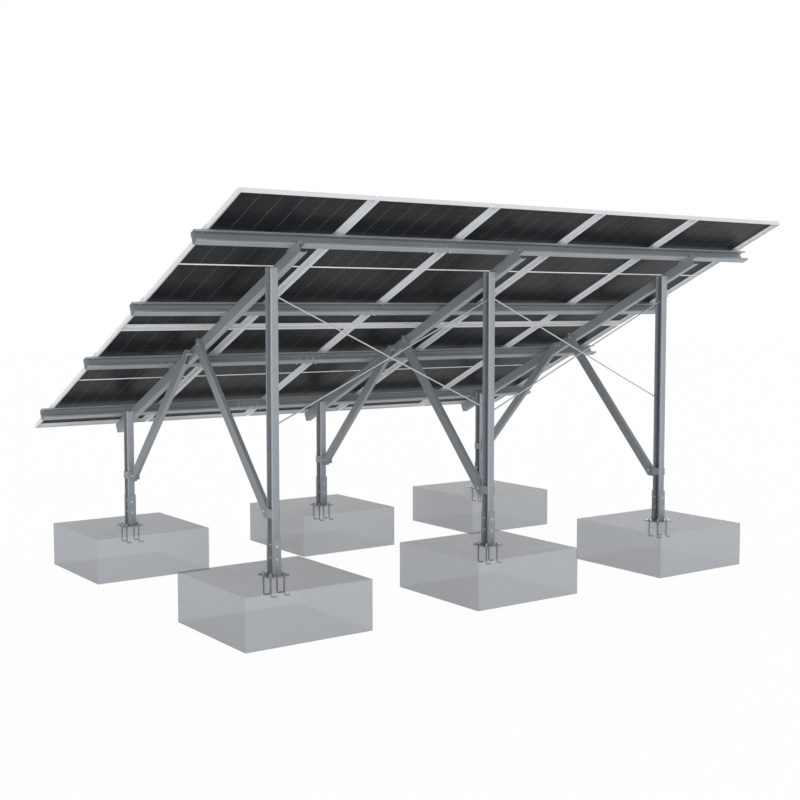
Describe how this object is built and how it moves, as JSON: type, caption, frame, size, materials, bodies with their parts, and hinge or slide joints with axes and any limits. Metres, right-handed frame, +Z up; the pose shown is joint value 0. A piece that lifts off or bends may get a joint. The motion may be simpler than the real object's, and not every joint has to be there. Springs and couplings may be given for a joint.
{
  "type": "solar panel ground mount",
  "caption": "Tilted ground mount for rows of framed solar modules: lipped-channel steel posts, beams, braces and purlins on concrete block footings.",
  "frame": {"origin": "on the ground, under the middle of the module field seen from above", "axes": "+X along the rows, to the right seen from the high edge's side; +Y towards the low front edge; +Z up"},
  "size_m": [5.95, 4.162, 3.2806],
  "materials": {
    "concrete": "smooth cast concrete, shown part transparent as in the drawing",
    "galvanised_steel": "hot-dip galvanised, smooth satin grey",
    "anodised_frame": "satin silver anodised",
    "laminate": "dark cells behind smooth glass, opaque",
    "clamp_aluminium": "plain extruded aluminium, satin",
    "zinc_plated_steel": "zinc plated, light silver",
    "plain_anchor_steel": "plain steel"
  },
  "bodies": {
    "root": {"footing_rear_left": "concrete", "footing_rear_middle": "concrete", "footing_rear_right": "concrete", "footing_front_left": "concrete", "footing_front_middle": "concrete", "footing_front_right": "concrete", "shoe_rear_left": "galvanised_steel", "shoe_rear_middle": "galvanised_steel", "shoe_rear_right": "galvanised_steel", "shoe_front_left": "galvanised_steel", "shoe_front_middle": "galvanised_steel", "shoe_front_right": "galvanised_steel", "rear_post_left": "galvanised_steel", "rear_post_middle": "galvanised_steel", "rear_post_right": "galvanised_steel", "front_post_left": "galvanised_steel", "front_post_middle": "galvanised_steel", "front_post_right": "galvanised_steel", "beam_left": "galvanised_steel", "beam_middle": "galvanised_steel", "beam_right": "galvanised_steel", "rear_brace_left": "galvanised_steel", "rear_brace_middle": "galvanised_steel", "rear_brace_right": "galvanised_steel", "front_brace_left": "galvanised_steel", "front_brace_middle": "galvanised_steel", "front_brace_right": "galvanised_steel", "purlin_1_left": "galvanised_steel", "purlin_1_right": "galvanised_steel", "purlin_2_left": "galvanised_steel", "purlin_2_right": "galvanised_steel", "purlin_3_left": "galvanised_steel", "purlin_3_right": "galvanised_steel", "purlin_4_left": "galvanised_steel", "purlin_4_right": "galvanised_steel", "module_frame_upper_1": "anodised_frame", "module_frame_upper_2": "anodised_frame", "module_frame_upper_3": "anodised_frame", "module_frame_upper_4": "anodised_frame", "module_frame_upper_5": "anodised_frame", "module_frame_lower_1": "anodised_frame", "module_frame_lower_2": "anodised_frame", "module_frame_lower_3": "anodised_frame", "module_frame_lower_4": "anodised_frame", "module_frame_lower_5": "anodised_frame", "laminates_1": "laminate", "laminates_2": "laminate", "laminates_3": "laminate", "laminates_4": "laminate", "laminates_5": "laminate", "anchor_bolts": "plain_anchor_steel", "anchor_nuts": "zinc_plated_steel", "brace_brackets": "galvanised_steel", "purlin_cleats": "galvanised_steel", "purlin_splices": "galvanised_steel", "mid_clamps": "clamp_aluminium", "end_clamps": "clamp_aluminium", "cross_rods": "zinc_plated_steel", "rod_nuts": "zinc_plated_steel", "assembly_bolts": "zinc_plated_steel"}
  },
  "joints": []
}
